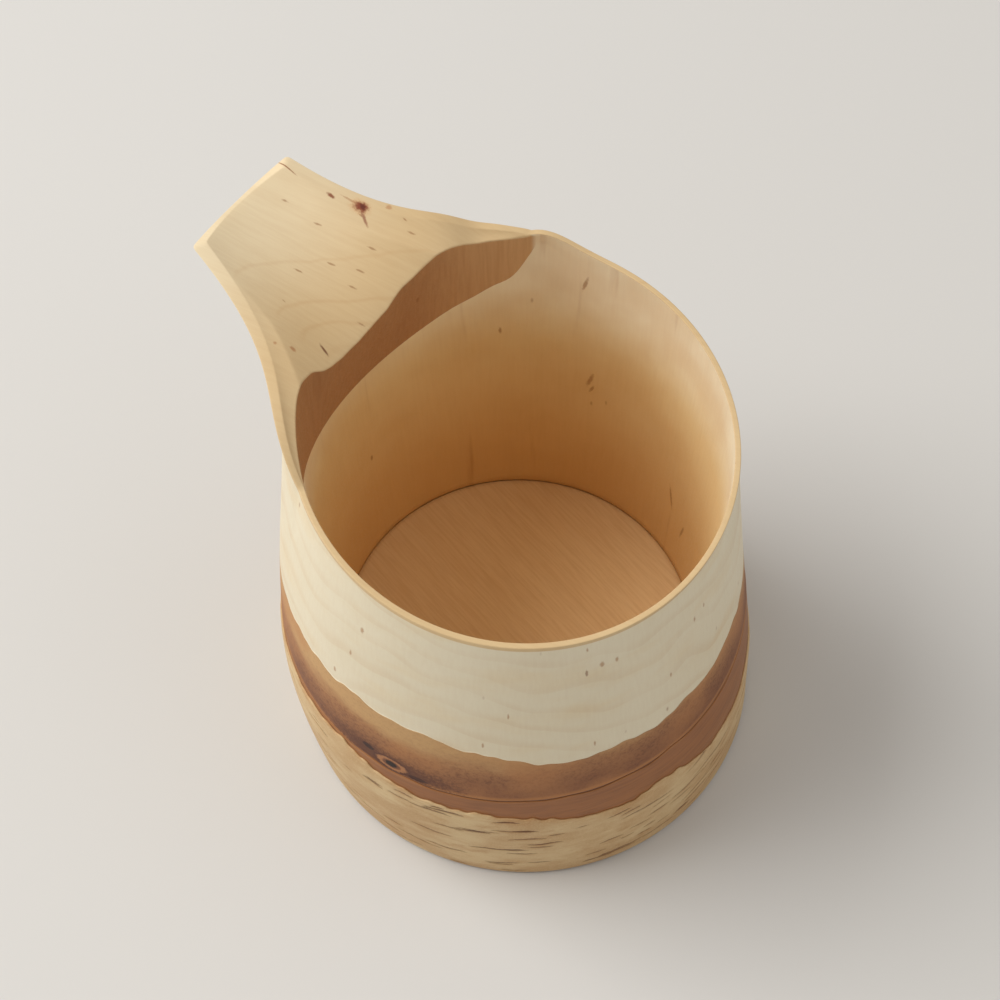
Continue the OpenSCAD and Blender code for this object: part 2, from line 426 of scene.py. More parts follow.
def make_cup_body():
    outer, inner, phi, place, lift = cup_columns()
    handle = np.arange(len(phi)) < HANDLE_COLUMNS
    edge_t = ease(RIM_T, TIP_T, place)
    # the edge is rounded back below, so that from above only its top shows
    inward = (inner - outer) / np.linalg.norm(inner - outer, axis=1)[:, None]
    under = outer + inward * (UNDERCUT * (edge_t - RIM_T))[:, None]
    turned = wrapped(np.arctan2(under[:, 1], under[:, 0]) - phi)
    out_r = np.hypot(under[:, 0], under[:, 1])
    low_z = outer[:, 2] - edge_t
    wood_h = on_ring(RING_WOOD, phi)
    wood_depth = depth_at(phi, wood_h)

    def hidden(u):
        z = wood_h * u
        return polar(log_r(z) - wood_depth, phi, z, log_centre(z))

    def outside(u):
        z = wood_h + (low_z - wood_h) * u
        flare = np.clip((z - FLARE_H) / (low_z - FLARE_H), 0, 1) ** FLARE_POWER
        r = shaved_r(phi, z) + (out_r - shaved_r(phi, low_z)) * flare
        return polar(r, phi + turned * flare, z, log_centre(z))

    # the arris and the crease below it, which run into the bore away from the handle
    from_root = np.where(handle, 0, (np.abs(wrapped(phi)) - ROOT) / PLAIN_RUN)
    plain_z = rim_z(phi) - RIM_DROP - ease(0, PLAIN_DROP, from_root)
    arris = np.minimum(arris_r(phi), np.hypot(inner[:, 0], inner[:, 1]) - ARRIS_GAP)
    plan = polar(arris, phi, 0.0)
    arris_z = np.minimum(top_z(plan[:, 0], plan[:, 1]), inner[:, 2] - 0.1)
    arris_z = np.where(handle, arris_z, plain_z)
    arris = np.where(handle, arris, bore_r(phi, arris_z))
    arris_point = polar(arris, phi, arris_z) + lift
    crease = np.where(handle, np.minimum(crease_z(phi), arris_z - CREASE_GAP),
                      plain_z - CREASE_GAP - ease(0, PLAIN_DROP, from_root))
    crease += CREASE_LIFT * lift[:, 2] - LOBE_DROP * hump(wrapped(phi - LOBE_AT), 0, LOBE_WIDTH)
    aside = lift * [1, 1, 0]
    crease_point = polar(bore_r(phi, crease), phi, crease) + aside

    def top(u):
        flat = lerp(inner, arris_point)(u * np.ones(len(phi)))
        start = inner[:, 2] - top_z(inner[:, 0], inner[:, 1]) - lift[:, 2]
        end = arris_point[:, 2] - top_z(arris_point[:, 0], arris_point[:, 1]) - lift[:, 2]
        z = top_z(flat[:, 0], flat[:, 1]) + lift[:, 2] + start * (1 - u) ** 3 + end * u ** 3
        flat[:, 2] = np.where(handle, z, flat[:, 2])
        return flat

    def bore(u):
        z = crease + (FLOOR_H - crease) * u
        return polar(bore_r(phi, z), phi, z) + lerp(0 * aside, aside)((1 - u) ** 3)

    groove_top = polar(FLOOR_R, phi, FLOOR_H)
    groove_mid = polar(GROOVE_R, phi, GROOVE_H)
    groove_low = polar(RECESS_R, phi, FLOOR_LOW)
    foot_in = polar(RECESS_R, phi, 0.0)

    # name, path, rows, gaps left at its start and end, the corner after it and its rows, paint
    sections = [
        ("foot", lerp(foot_in, hidden(0.0)), 3, 0.6, 0, None, 0, PLAIN),
        ("hidden", hidden, 5, 0, 0, None, 0, PLAIN),
        ("outside", outside, 64, 0, 0.5, outside(1.0), 3, PLAIN),
        ("lip", lerp(outside(1.0), outer), 3, 0.35, 0.22, outer, 4, TOP),
        ("band", lerp(outer, inner), 4, 0.22, 0.15, inner, 3, TOP),
        ("top", top, 44, 0.15, 0.25, arris_point, 3, TOP),
        ("cut", lerp(arris_point, crease_point), 18, 0.25, 0.12, crease_point, 2, CUT),
        ("bore", bore, 34, 0.12, 0, None, 0, BORE),
        ("groove", lerp(groove_top, groove_mid), 2, 0, 0, None, 0, PLAIN),
        ("recess", lerp(groove_low, foot_in), 3, 0, 0.6, foot_in, 2, PLAIN),
    ]
    parts = []
    for name, path, count, start, end, *_ in sections:
        part = run(path, count, start, end)
        # these two start where the section before them ended
        parts.append(part[1:] if name in ("hidden", "groove") else part)
    rows, paint = [], []
    for k, part in enumerate(parts):
        name = sections[k][0]
        point, count, colour = sections[k][5:]
        if count:
            part = part + corner(part, point, parts[(k + 1) % len(parts)], count)
        columns = np.tile(np.array(colour, float), (len(phi), 1))
        if name in ("top", "cut"):
            columns[~handle] = BORE
        rows += part
        paint += [columns] * len(part)
    return grid_piece("cup_body_wood", rows, "cup_body", np.stack(paint))


# ---- Bark layers ----------------------------------------------------------------------------

# The worked line between cork and inner bark: a fine groove and a ridge above it
GROOVE_CUT, GROOVE_RISE, GROOVE_WIDTH = 0.16, 0.1, 0.22
RIDGE_CUT, RIDGE_RISE, RIDGE_WIDTH = 0.07, 0.75, 0.3

SLITS = 260
SLIT_DEPTH = 0.26
SLIT_LONGEST = 7.0
GOLDEN = 0.618034
BARK_SWELL = 0.05
BARK_COLUMNS, BARK_ROWS = 600, 140
BARK_WAVES = 14
TORN_DEPTH, TORN_RUN = 0.2, 0.6
# The torn edge at the bark's top: share of the bark's thickness, and height above its top row
TORN_EDGE = ((0.36, 0.05), (0.15, 0.06))


def bevel_z(r):
    return np.maximum(0, r - BEVEL_R)


def layer_side(phi, depth, top, count):
    """Rows at one depth below the log's surface, from the foot's bevel up to a height."""
    foot = bevel_z(log_r(0.0) - depth)
    rows = []
    for k in range(count):
        z = foot + (top - foot) * k / (count - 1)
        rows.append(polar(log_r(z) - depth, phi, z, log_centre(z)))
    return rows


def line_groove(phi, z):
    off = z - on_ring(RING_CORK, phi)
    return (RIDGE_CUT * hump(off, RIDGE_RISE, RIDGE_WIDTH)
            - GROOVE_CUT * hump(off, GROOVE_RISE, GROOVE_WIDTH))


def shaved_rows(phi, low, high, count):
    rows = []
    for k in range(count):
        z = low + (high - low) * k / (count - 1)
        rows.append(polar(shaved_r(phi, z) + line_groove(phi, z), phi, z, log_centre(z)))
    return rows


def make_layer(name, node, lower, upper, columns, shown):
    """One ring between two depths, shown on the shaved surface between two wavy edges."""
    phi = np.linspace(0, TURN, columns, endpoint=False)
    low, high = on_ring(lower, phi), on_ring(upper, phi)
    rows = layer_side(phi, depth_at(phi, low), low, 4)[:-1]
    rows += shaved_rows(phi, low, high, shown)
    rows += layer_side(phi, depth_at(phi, high), high, 5)[::-1][1:]
    return grid_piece(name, rows, node)


def slit_marks(phi, z):
    """Lenticels: thin level slits in clusters, as how deep a slit is and how brown beside it."""
    slit, halo = np.zeros_like(z), np.zeros_like(z)
    for k in range(SLITS):
        at = (k // 3 * GOLDEN % 1) * TURN + rng.normal(0, 0.07)
        limit = float(on_ring(RING_BARK, np.array([at]))[0]) - 0.8
        height = rng.uniform(1.2, limit)
        length = min(rng.lognormal(0.95, 0.5), SLIT_LONGEST)
        width = rng.uniform(0.24, 0.34) * (0.8 + 0.08 * length)
        along = wrapped(phi - at) * LOG_R
        tilt = rng.normal(0, 0.02)
        wave = 0.15 * np.sin(along * rng.uniform(0.5, 1.2) + rng.uniform(0, TURN))
        off = z - height - tilt * along - wave
        lens = np.sqrt(np.clip(1 - (along / length) ** 2, 0, 1))
        inside = np.clip(1 - np.abs(off) / (width * lens + 1e-6), 0, 1) * (lens > 0)
        slit = np.maximum(slit, np.minimum(1, inside * 2) * rng.uniform(0.7, 1.0))
        spread = hump(along, 0, length * 0.9) * hump(off, 0, width * 3.2)
        halo = np.maximum(halo, spread * rng.uniform(0.1, 0.7))
    return slit, halo


def make_outer_bark():
    phi = np.linspace(0, TURN, BARK_COLUMNS, endpoint=False)
    top = on_ring(RING_BARK, phi)
    z = FOOT_BEVEL + (top - FOOT_BEVEL) * np.linspace(0, 1, BARK_ROWS)[:, None]
    wide = np.tile(phi, (BARK_ROWS, 1))
    slit, halo = slit_marks(wide, z)
    swell = np.zeros_like(z)
    for _ in range(BARK_WAVES):
        k, rise = rng.integers(3, 40), rng.uniform(0.05, 0.5)
        swell += np.sin(wide * k + z * rise + rng.uniform(0, TURN)) / (2 + k ** 0.5)
    outer = np.minimum(log_r(z), shaved_r(wide, z) + BARK_STEP - 0.05)
    fade = np.clip(np.minimum(z - FOOT_BEVEL, top - z) / 1.5, 0, 1)
    torn = TORN_DEPTH * np.exp(-(top - z) / TORN_RUN)
    proud = outer - torn + BARK_SWELL * swell * fade - SLIT_DEPTH * slit
    rows = [polar(proud[k], phi, z[k], log_centre(z[k])) for k in range(BARK_ROWS)]
    for out, up in TORN_EDGE:
        rows.append(polar(shaved_r(phi, top) + BARK_STEP * out, phi, top + up, log_centre(top)))
    rows += layer_side(phi, depth_at(phi, top), top, 5)[::-1]
    # painted for the bark's material: slit, the brown beside it, and nearness to the torn edge
    paint = np.zeros((len(rows), BARK_COLUMNS, 4))
    paint[:BARK_ROWS, :, 0] = slit
    paint[:BARK_ROWS, :, 1] = halo
    paint[:BARK_ROWS, :, 2] = np.clip(1 - (top - z) / 2.5, 0, 1)
    paint[BARK_ROWS:, :, 2] = 1
    paint[:, :, 3] = 1
    return grid_piece("outer_bark_skin", rows, "outer_bark", paint)


# ---- Floor disc -----------------------------------------------------------------------------

FLOOR_COLUMNS = 300
FLOOR_CHAMFER = 0.16
FLOOR_SINK, FLOOR_CROWN = 0.1, 0.1
FLOOR_GAP = 0.05


def make_floor_disc():
    phi = np.linspace(0, TURN, FLOOR_COLUMNS, endpoint=False)
    top = FLOOR_H - FLOOR_SINK
    rows = [polar((FLOOR_R - FLOOR_CHAMFER) * share, phi, top + FLOOR_CROWN * (1 - share ** 2))
            for share in np.linspace(0, 1, 40)]
    rows.append(polar(FLOOR_R - FLOOR_CHAMFER / 2, phi, top - FLOOR_CHAMFER / 2))
    rows.append(polar(FLOOR_R, phi, top - FLOOR_CHAMFER))
    rows.append(polar(GROOVE_R - FLOOR_GAP, phi, GROOVE_H))
    rows += [polar(RECESS_R * share, phi, FLOOR_LOW) for share in np.linspace(1, 0, 24)]
    return close_centres(grid_piece("floor_disc_wood", rows, "floor_disc"))


def close_centres(piece):
    """Joins the rows that shrink to a point and drops the edges left without a face."""
    shape = bmesh.new()
    shape.from_mesh(piece.data)
    bmesh.ops.remove_doubles(shape, verts=shape.verts, dist=1e-7)
    loose = [e for e in shape.edges if not e.link_faces]
    bmesh.ops.delete(shape, geom=loose, context="EDGES")
    shape.to_mesh(piece.data)
    shape.free()
    return piece


body = make_cup_body()
inner_bark = make_layer("inner_bark_ring", "inner_bark",
                        RING_CORK, RING_WOOD, 720, 70)
cork = make_layer("cork_ring", "cork_layer", RING_BARK, RING_CORK, 900, 36)
outer_bark = make_outer_bark()
floor_disc = make_floor_disc()


# ---- Materials ------------------------------------------------------------------------------


def rgb(r, g, b):
    """A screen colour from 0 to 255 as the linear colour a shader wants."""
    out = []
    for c in (r, g, b):
        c = c / 255
        out.append(c / 12.92 if c <= 0.04045 else ((c + 0.055) / 1.055) ** 2.4)
    return (*out, 1.0)


class Graph:
    """A material under construction. Each call adds one node and returns its output."""

    def __init__(self, name, roughness, coat=0.0, coat_roughness=0.3):
        self.material = bpy.data.materials.new(name)
        self.material.use_nodes = True
        self.tree = self.material.node_tree
        self.shader = self.tree.nodes["Principled BSDF"]
        self.shader.inputs["Roughness"].default_value = roughness
        self.shader.inputs["Coat Weight"].default_value = coat
        self.shader.inputs["Coat Roughness"].default_value = coat_roughness
        self.shader.inputs["Specular IOR Level"].default_value = 0.35
        scaled = self.node("ShaderNodeVectorMath", operation="SCALE")
        self.feed(scaled.inputs[0], self.node("ShaderNodeTexCoord").outputs["Object"])
        self.feed(scaled.inputs["Scale"], 1 / MM)
        self.point = scaled.outputs["Vector"]

    def node(self, kind, **settings):
        made = self.tree.nodes.new(kind)
        for key, value in settings.items():
            setattr(made, key, value)
        return made

    def feed(self, socket, value):
        if isinstance(value, bpy.types.NodeSocket):
            self.tree.links.new(value, socket)
        else:
            socket.default_value = value

    def math(self, operation, a, b=0.0):
        made = self.node("ShaderNodeMath", operation=operation)
        self.feed(made.inputs[0], a)
        self.feed(made.inputs[1], b)
        return made.outputs[0]

    def add(self, a, b):
        return self.math("ADD", a, b)

    def times(self, a, b):
        return self.math("MULTIPLY", a, b)

    def remap(self, value, low, high, out_low=0.0, out_high=1.0):
        """A smooth step from out_low to out_high as the value goes from low to high."""
        made = self.node("ShaderNodeMapRange", interpolation_type="SMOOTHSTEP")
        for socket, v in zip(made.inputs, (value, low, high, out_low, out_high)):
            self.feed(socket, v)
        return made.outputs[0]

    def length(self, vector):
        made = self.node("ShaderNodeVectorMath", operation="LENGTH")
        self.feed(made.inputs[0], vector)
        return made.outputs["Value"]

    def stretch(self, x, y, z, point=None):
        made = self.node("ShaderNodeVectorMath", operation="MULTIPLY")
        self.feed(made.inputs[0], self.point if point is None else point)
        self.feed(made.inputs[1], (x, y, z))
        return made.outputs["Vector"]

    def turned(self, degrees):
        made = self.node("ShaderNodeMapping")
        self.feed(made.inputs["Vector"], self.point)
        made.inputs["Rotation"].default_value = (0, 0, math.radians(degrees))
        return made.outputs[0]

    def noise(self, point, scale=1.0, detail=3.0, roughness=0.55):
        made = self.node("ShaderNodeTexNoise")
        self.feed(made.inputs["Vector"], point)
        for key, value in (("Scale", scale), ("Detail", detail), ("Roughness", roughness)):
            made.inputs[key].default_value = value
        return made.outputs["Fac"]

    def mix(self, factor, a, b, blend="MIX"):
        made = self.node("ShaderNodeMix", data_type="RGBA", blend_type=blend)
        made.clamp_factor = True
        self.feed(made.inputs[0], factor)
        self.feed(made.inputs[6], a)
        self.feed(made.inputs[7], b)
        return made.outputs[2]

    def zone(self):
        made = self.node("ShaderNodeAttribute", attribute_name="zone")
        split = self.node("ShaderNodeSeparateColor")
        self.feed(split.inputs[0], made.outputs["Color"])
        return split.outputs

    def axis(self, index):
        made = self.node("ShaderNodeSeparateXYZ")
        self.feed(made.inputs[0], self.point)
        return made.outputs[index]

    def flecks(self, x, y, z, seldom, size):
        """Sparse dashes: one in a few cells, long where the scale is small."""
        made = self.node("ShaderNodeTexVoronoi")
        self.feed(made.inputs["Vector"], self.stretch(x, y, z))
        made.inputs["Scale"].default_value = 1.0
        near = self.remap(made.outputs["Distance"], size, size * 0.35)
        split = self.node("ShaderNodeSeparateColor")
        self.feed(split.inputs[0], made.outputs["Color"])
        return self.times(near, self.remap(split.outputs[0], seldom, seldom + 0.04))

    def spot(self, centre, size, turn=0.0, lean=0.0, ragged=0.35, hard=0.6):
        """A knot, stain or crack: an ellipsoid about centre with a ragged edge."""
        made = self.node("ShaderNodeMapping", vector_type="TEXTURE")
        self.feed(made.inputs["Vector"], self.point)
        made.inputs["Location"].default_value = centre
        made.inputs["Rotation"].default_value = (0, math.radians(lean), math.radians(turn))
        made.inputs["Scale"].default_value = size
        rough = self.noise(self.point, 1.6, 4.0, 0.65)
        rough = self.times(self.math("SUBTRACT", rough, 0.5), ragged * 2)
        return self.remap(self.add(self.length(made.outputs[0]), rough), 1.0, hard * 0.6)

    def finish(self, colour, height, strength, distance, roughness=None):
        """Wires colour, bump height over a distance in millimetres, and varied roughness."""
        self.feed(self.shader.inputs["Base Color"], colour)
        if roughness is not None:
            self.feed(self.shader.inputs["Roughness"], roughness)
        bump = self.node("ShaderNodeBump")
        bump.inputs["Strength"].default_value = strength
        bump.inputs["Distance"].default_value = distance * MM
        self.feed(bump.inputs["Height"], height)
        self.feed(self.shader.inputs["Normal"], bump.outputs[0])
        return self.material


def from_handle(x, y, z):
    """A point in handle directions as a point of the frame."""
    return (-x, -y, z)


def on_outside(azimuth, z):
    """A point on the shaved outside at an azimuth."""
    phi = np.array([math.radians(azimuth) + math.pi])
    return tuple(polar(shaved_r(phi, np.array([z])), phi, z, log_centre(z))[0] * [-1, -1, 1])


def in_bore(azimuth, z):
    """A point on the bore at an azimuth."""
    phi = math.radians(azimuth) + math.pi
    r = bore_r(phi, z)
    return (-r * math.cos(phi), -r * math.sin(phi), z)


SAPWOOD, SAPWOOD_TAN, SAPWOOD_GOLD = rgb(238, 228, 202), rgb(229, 215, 184), rgb(230, 206, 162)
RING_TAN = rgb(205, 166, 114)
TOP_PALE, TOP_TAN = rgb(240, 222, 186), rgb(232, 209, 168)
TOP_DEEP, TOP_DEEP_TAN = rgb(222, 194, 148), rgb(212, 181, 133)
# Bore colours hold painted light and shade: the palest is painted light near the rim, the lowest
# painted shade deep in the cup
BORE_PAINTED_LIGHT, BORE_MID, BORE_PAINTED_SHADE = rgb(255, 243, 212), rgb(238, 214, 162), rgb(224, 182, 120)
BORE_MOTTLE, BORE_STREAK = rgb(214, 168, 104), rgb(168, 106, 58)
# Colours of the cut below the handle: the brown of its end grain with painted shade, darkest on the
# near side
CUT_GRAIN_AND_SHADE_NEAR, CUT_GRAIN_AND_SHADE_FAR = rgb(182, 134, 92), rgb(214, 172, 124)
FIBRE_BROWN, ARC_TAN, DASH_BROWN = rgb(190, 142, 88), rgb(196, 150, 98), rgb(150, 98, 56)
KNOT_RED, KNOT_DARK, KNOT_HALO = rgb(134, 60, 36), rgb(96, 40, 26), rgb(214, 164, 112)
CRACK_BROWN, FLECK_BROWN, FLECK_TAN = rgb(150, 92, 44), rgb(128, 74, 40), rgb(172, 120, 72)

# Nested arcs of the crotch grain on the handle's top: how far along, and how strong
ARC_LEVELS = ((58.6, 0.14), (49.2, 0.2), (44.4, 0.2), (39.5, 0.1))
ARC_AXIS, ARC_BLUNT, ARC_WANDER = 8.5, 22.0, 3.0

# Knot, cracks and flecks on the handle's top:
# place in handle directions, size, turn, raggedness, colour, strength
TOP_MARKS = (
    ((45.4, -14.0, 99.0), (2.6, 1.8, 3), 20, 0.35, KNOT_HALO, 0.6),
    ((45.2, -14.1, 99.2), (1.9, 1.2, 2), 25, 0.5, KNOT_RED, 0.95),
    ((45.0, -14.3, 99.2), (0.9, 0.6, 2), -20, 0.5, KNOT_DARK, 0.8),
    ((43.6, -12.9, 98.4), (2.2, 0.4, 2), -28, 0.5, KNOT_RED, 0.7),
    ((47.6, -13.6, 99.8), (2.4, 0.3, 2), 12, 0.6, rgb(170, 110, 66), 0.5),
    ((50.2, -12.0, 100.5), (1.1, 0.42, 2), 12, 0.4, rgb(138, 70, 36), 0.9),
    ((58.8, -10.5, 103.2), (3.0, 0.18, 3), 1, 0.2, rgb(150, 92, 52), 0.9),
    ((41.8, -17.4, 98.4), (0.7, 0.6, 2), 0, 0.6, rgb(184, 124, 80), 0.6),
    ((34.2, 9.6, 91.5), (1.5, 0.34, 6), -12, 0.4, rgb(120, 70, 40), 0.9),
    ((37.0, 14.2, 95.5), (0.8, 0.5, 3), 0, 0.5, rgb(176, 116, 70), 0.7),
    ((39.4, 15.8, 96.5), (0.5, 0.5, 3), 0, 0.5, rgb(176, 116, 70), 0.6),
)
TOP_FLECKS = ((43.4, -3.5), (39.1, -6.0), (39.7, -10.0), (38.4, -3.0), (33.4, 0.8),
              (55.6, -6.2), (49.2, -7.0), (36.0, -16.5), (46.5, 1.5))
TOP_FLECK_H, TOP_FLECK_SIZE, TOP_FLECK_TURN = 96, (1.0, 0.24, 12), 20

# Flecks on the outside: azimuth, height, width, length. The first is the darkest.
OUTSIDE_FLECKS = (
    (326, 72.8, 0.5, 1.5), (268, 74.6, 0.7, 1.1), (265, 65.6, 0.5, 1.2), (260, 55.9, 0.6, 1.0),
    (307, 63.1, 0.35, 1.5), (301, 53.4, 0.4, 1.2), (330, 73.8, 0.8, 1.1), (334, 73.5, 0.6, 0.9),
    (326, 79.4, 0.4, 1.0), (359, 68.5, 0.45, 1.3), (3, 69.3, 0.4, 1.0), (350, 58.6, 0.4, 1.0),
    (328, 50.1, 0.4, 1.1),
)
# Cracks and streaks in the bore: azimuth, height, width, length, lean
BORE_CRACKS = (
    (108.6, 81.3, 0.5, 2.6, 12), (105.3, 52.9, 0.55, 2.8, 14), (104.6, 50.2, 0.4, 1.6, 20),
    (70.0, 33.5, 0.45, 4.2, -14), (61.5, 28.2, 0.4, 3.6, 10), (132.9, 65.2, 0.4, 1.2, 0),
)


def birch_marks(g):
    """Mask, colour and strength of every single mark on the birch wood."""
    marks = []
    for place, size, turn, ragged, tint, strength in TOP_MARKS:
        marks.append((g.spot(from_handle(*place), size, turn, ragged=ragged), tint, strength))
    for along, across in TOP_FLECKS:
        place = from_handle(along, across, TOP_FLECK_H)
        marks.append((g.spot(place, TOP_FLECK_SIZE, TOP_FLECK_TURN, ragged=0.5), DASH_BROWN, 0.6))
    for k, (azimuth, height, wide, tall) in enumerate(OUTSIDE_FLECKS):
        size = (wide * 0.7, wide * 0.7, tall)
        tint = FLECK_TAN if k else FLECK_BROWN
        marks.append((g.spot(on_outside(azimuth, height), size, ragged=0.5), tint, 0.65))
    for azimuth, height, wide, tall, lean in BORE_CRACKS:
        place = in_bore(azimuth, height)
        crack = g.spot(place, (wide, 1.6, tall), azimuth - 90, lean, 0.5)
        marks.append((crack, CRACK_BROWN, 0.6))
    return marks


def birch_wood():
    g = Graph("birch_wood", 0.5, coat=0.12, coat_roughness=0.4)
    inside, cut, top = g.zone()[:3]
    not_top = g.math("SUBTRACT", 1.0, top)
    x, y, z = (g.axis(k) for k in range(3))
    mottle = g.noise(g.point, 0.05, 3.0)

    # growth rings about a slightly wandering pith, seen as faint tan lines
    wander = g.math("SUBTRACT", g.noise(g.stretch(0.03, 0.03, 0.02), 1.0, 2.0), 0.5)
    radius = g.add(g.length(g.stretch(1, 1, 0)), g.times(wander, 3.4))
    turn = g.math("FRACT", g.times(radius, 0.95))
    ring = g.times(g.remap(turn, 0.55, 0.9), g.remap(turn, 1.0, 0.94))
    soft_ring = g.noise(g.stretch(0.05, 0.05, 0.16), 1.0, 3.0)

    # fibres run up the log, and along the handle on its top
    up = g.noise(g.stretch(1.6, 1.6, 0.07), 1.0, 4.0, 0.6)
    along = g.noise(g.stretch(0.09, 1.5, 0.3, g.turned(-18)), 1.0, 4.0, 0.6)
    fibre = g.add(g.times(along, top), g.times(up, not_top))

    outer = g.mix(mottle, SAPWOOD, SAPWOOD_TAN)
    outer = g.mix(g.remap(soft_ring, 0.45, 0.75, 0, 0.4), outer, SAPWOOD_GOLD)
    faint = g.times(ring, g.remap(mottle, 0.3, 0.7, 0.06, 0.2))
    outer = g.mix(faint, outer, RING_TAN)
    face = g.mix(g.remap(x, -60.0, -34.0), g.mix(mottle, TOP_PALE, TOP_TAN),
                 g.mix(mottle, TOP_DEEP, TOP_DEEP_TAN))
    # painted shade: the bore darker and warmer towards the floor; painted light: paler towards the
    # rim
    bore = g.mix(g.remap(z, 90.0, 20.0), BORE_MID, BORE_PAINTED_SHADE)
    bore = g.mix(g.remap(z, 60.0, 84.0), bore, BORE_PAINTED_LIGHT)
    bore = g.mix(g.remap(mottle, 0.35, 0.7, 0, 0.35), bore, BORE_MOTTLE)
    colour = g.mix(top, outer, face)
    colour = g.mix(inside, colour, bore)
    # the cut below the handle: end grain brown with painted shade, darker towards the near side
    colour = g.mix(cut, colour, g.mix(g.remap(y, 10.0, 30.0), CUT_GRAIN_AND_SHADE_NEAR, CUT_GRAIN_AND_SHADE_FAR))
    depth = g.add(0.05, g.add(g.times(top, 0.04), g.times(cut, 0.16)))
    colour = g.mix(g.times(g.remap(fibre, 0.3, 0.72), depth), colour, FIBRE_BROWN, "MULTIPLY")

    # nested arcs of the crotch grain on the handle's top
    aside = g.math("ABSOLUTE", g.add(y, ARC_AXIS))
    reach = g.math("SQRT", g.add(g.times(aside, aside), ARC_BLUNT))
    arcs = g.add(g.math("SUBTRACT", reach, x), g.times(g.noise(g.point, 0.12, 2.0), ARC_WANDER))
    bowl = g.times(top, g.remap(y, -12.5, -9.5))
    for level, strength in ARC_LEVELS:
        off = g.math("ABSOLUTE", g.math("SUBTRACT", arcs, level))
        colour = g.mix(g.times(g.remap(off, 0.7, 0.0), g.times(bowl, strength)), colour, ARC_TAN)

    # scattered flecks, then streaks in the bore, then the single marks
    dash_up = g.flecks(0.34, 0.34, 0.13, 0.93, 0.16)
    dash_along = g.flecks(0.16, 0.6, 0.3, 0.86, 0.12)
    dash = g.add(g.times(dash_along, g.add(top, cut)), g.times(dash_up, not_top))
    colour = g.mix(g.times(dash, 0.7), colour, DASH_BROWN)
    streak = g.noise(g.stretch(0.22, 0.22, 0.012), 1.0, 3.0)
    colour = g.mix(g.times(g.remap(streak, 0.6, 0.78, 0, 0.5), inside), colour, BORE_STREAK)
    for mask, tint, strength in birch_marks(g):
        colour = g.mix(g.times(mask, strength), colour, tint)

    fine = g.noise(g.stretch(6, 6, 0.5), 1.0, 3.0)
    height = g.add(g.times(fibre, 0.6), g.times(fine, 0.4))
    height = g.math("SUBTRACT", height, g.times(dash, 0.5))
    rough = g.remap(g.noise(g.point, 2.2, 3.0), 0.3, 0.7, 0.42, 0.6)
    return g.finish(colour, height, 0.14, 0.25, rough)


def floor_wood():
    g = Graph("floor_wood", 0.52, coat=0.1, coat_roughness=0.4)
    lie = g.turned(12)
    grain = g.noise(g.stretch(0.12, 1.9, 1.0, lie), 1.0, 5.0, 0.65)
    broad = g.noise(g.stretch(0.02, 0.12, 1.0, lie), 1.0, 3.0)
    wave = g.noise(g.stretch(0.05, 0.6, 1.0, lie), 1.0, 3.0)
    colour = g.mix(broad, rgb(240, 208, 156), rgb(228, 190, 136))
    colour = g.mix(g.remap(grain, 0.35, 0.7, 0, 0.3), colour, rgb(198, 150, 98))
    colour = g.mix(g.remap(wave, 0.55, 0.75, 0, 0.3), colour, rgb(236, 204, 154))
    return g.finish(colour, grain, 0.12, 0.2)


# The eye in the bark and dark spots beside it, outer rings first:
# azimuth, height, width, length, colour
EYE_RINGS = (
    (277.5, 37.0, 4.4, 2.6, rgb(84, 44, 28)), (277.5, 37.0, 3.6, 2.0, rgb(176, 120, 76)),
    (277.5, 37.0, 2.3, 1.4, rgb(116, 70, 44)), (277.5, 37.0, 1.4, 1.0, rgb(34, 18, 12)),
    (271.0, 38.6, 1.5, 0.9, rgb(58, 30, 20)), (284.5, 35.9, 2.2, 0.7, rgb(70, 36, 24)),
)
STAIN_AT, STAIN_SIZE = (276, 36.8), (18, 18, 5)


def inner_bark_finish():
    g = Graph("inner_bark", 0.6, coat=0.04, coat_roughness=0.45)
    z = g.axis(2)
    cells = g.noise(g.point, 1.3, 5.0, 0.7)
    patches = g.noise(g.stretch(0.10, 0.10, 0.22), 1.0, 4.0, 0.6)
    drift = g.noise(g.stretch(0.05, 0.05, 0.05), 1.0, 2.0)
    level = g.add(z, g.times(g.math("SUBTRACT", patches, 0.5), 7.0))
    colour = g.mix(g.remap(level, 37.0, 46.0), rgb(136, 86, 52), rgb(170, 118, 74))
    colour = g.mix(g.remap(level, 43.5, 49.5), colour, rgb(200, 158, 106))
    gritty = g.times(g.remap(cells, 0.42, 0.7), g.remap(level, 48.0, 41.0, 0.15, 0.75))
    colour = g.mix(gritty, colour, rgb(108, 62, 38))
    colour = g.mix(g.remap(drift, 0.45, 0.65, 0, 0.5), colour, rgb(186, 126, 74))
    # a light line, then a dark one, where the cork begins
    colour = g.mix(g.remap(z, 36.0, 34.9, 0, 0.6), colour, rgb(190, 130, 76))
    colour = g.mix(g.remap(z, 34.9, 34.3, 0, 0.8), colour, rgb(86, 46, 30))
    stain = g.spot(on_outside(*STAIN_AT), STAIN_SIZE, ragged=0.7)
    colour = g.mix(g.times(stain, 0.85), colour, rgb(92, 50, 32))
    for azimuth, height, wide, tall, tint in EYE_RINGS:
        eye = g.spot(on_outside(azimuth, height), (wide, wide, tall), ragged=0.3, hard=1.2)
        colour = g.mix(eye, colour, tint)
    return g.finish(colour, cells, 0.25, 0.25)


